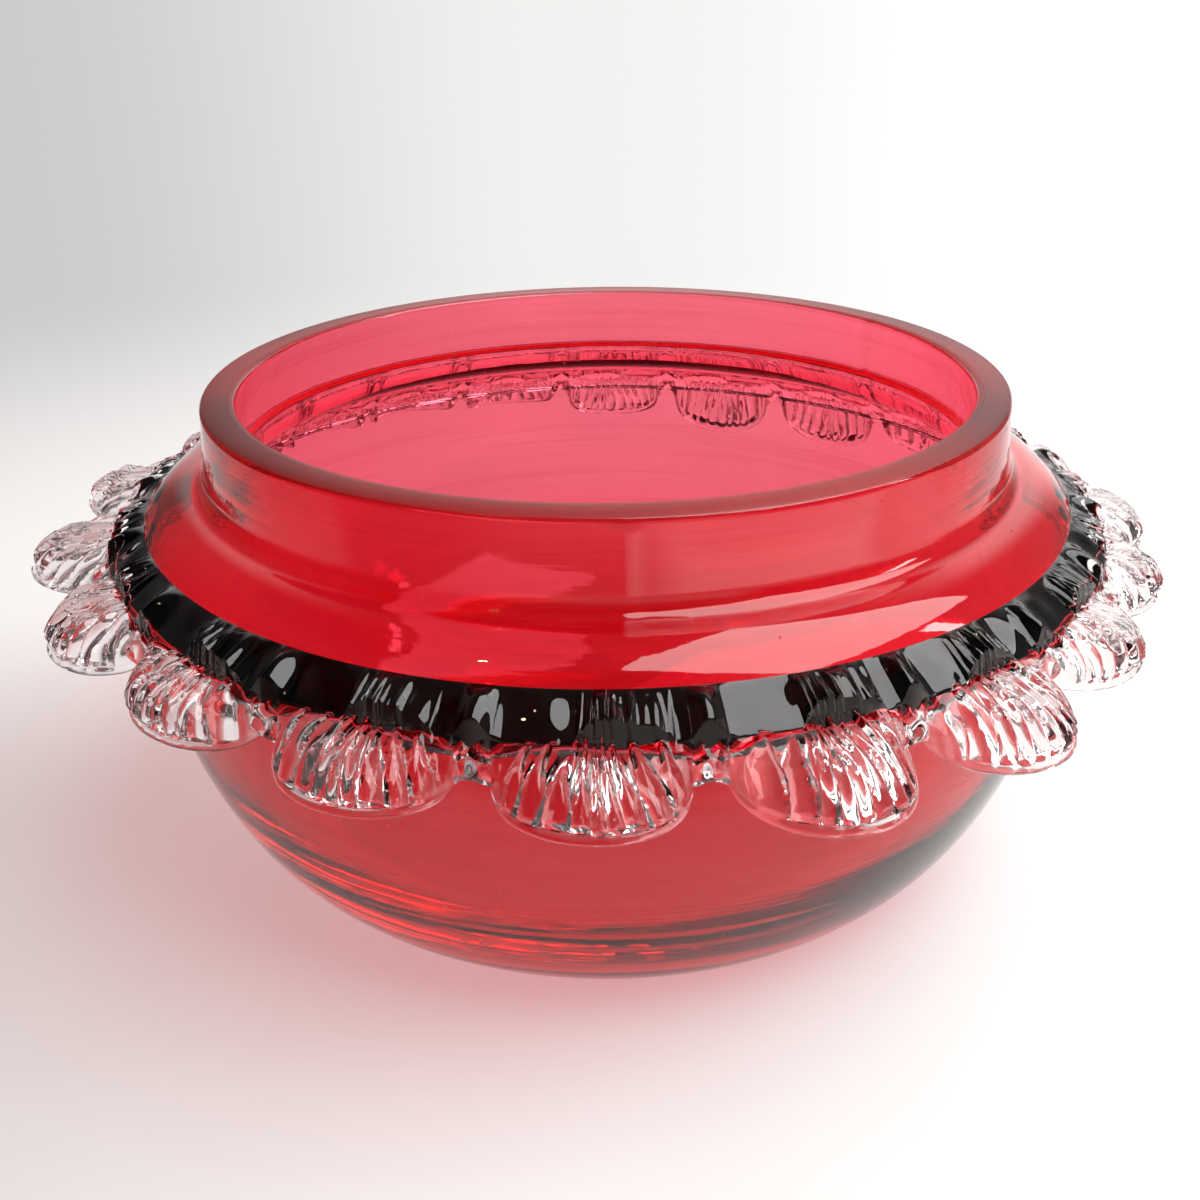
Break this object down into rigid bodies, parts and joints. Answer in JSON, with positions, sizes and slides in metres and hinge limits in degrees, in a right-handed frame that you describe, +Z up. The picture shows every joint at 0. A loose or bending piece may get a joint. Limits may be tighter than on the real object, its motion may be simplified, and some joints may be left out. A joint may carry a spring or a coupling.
{
  "type": "glass bowl",
  "caption": "Squat round bowl in clear glass over a ruby lining, with a ground rim, a short collar and a pincered frill of clear shells round the shoulder.",
  "frame": {"origin": "centre of the flat foot, on the surface the bowl stands on", "axes": "+Z up along the bowl's axis, -Y towards the front as pictured, +X to its right"},
  "size_m": [0.2173, 0.2091, 0.091],
  "materials": {
    "clear_glass": "blown, fire polished, rim ground flat",
    "ruby_glass": "blown gold-ruby layer, fire polished",
    "frill_glass": "hot-worked clear glass, pincered ribs, fire polished"
  },
  "bodies": {
    "root": {"clear_casing": "clear_glass", "ruby_lining": "ruby_glass", "frill_trail": "frill_glass", "shell_01": "frill_glass", "shell_02": "frill_glass", "shell_03": "frill_glass", "shell_04": "frill_glass", "shell_05": "frill_glass", "shell_06": "frill_glass", "shell_07": "frill_glass", "shell_08": "frill_glass", "shell_09": "frill_glass", "shell_10": "frill_glass", "shell_11": "frill_glass", "shell_12": "frill_glass", "shell_13": "frill_glass", "shell_14": "frill_glass", "shell_15": "frill_glass", "shell_16": "frill_glass", "shell_17": "frill_glass", "shell_18": "frill_glass", "shell_19": "frill_glass", "shell_20": "frill_glass"}
  },
  "joints": []
}
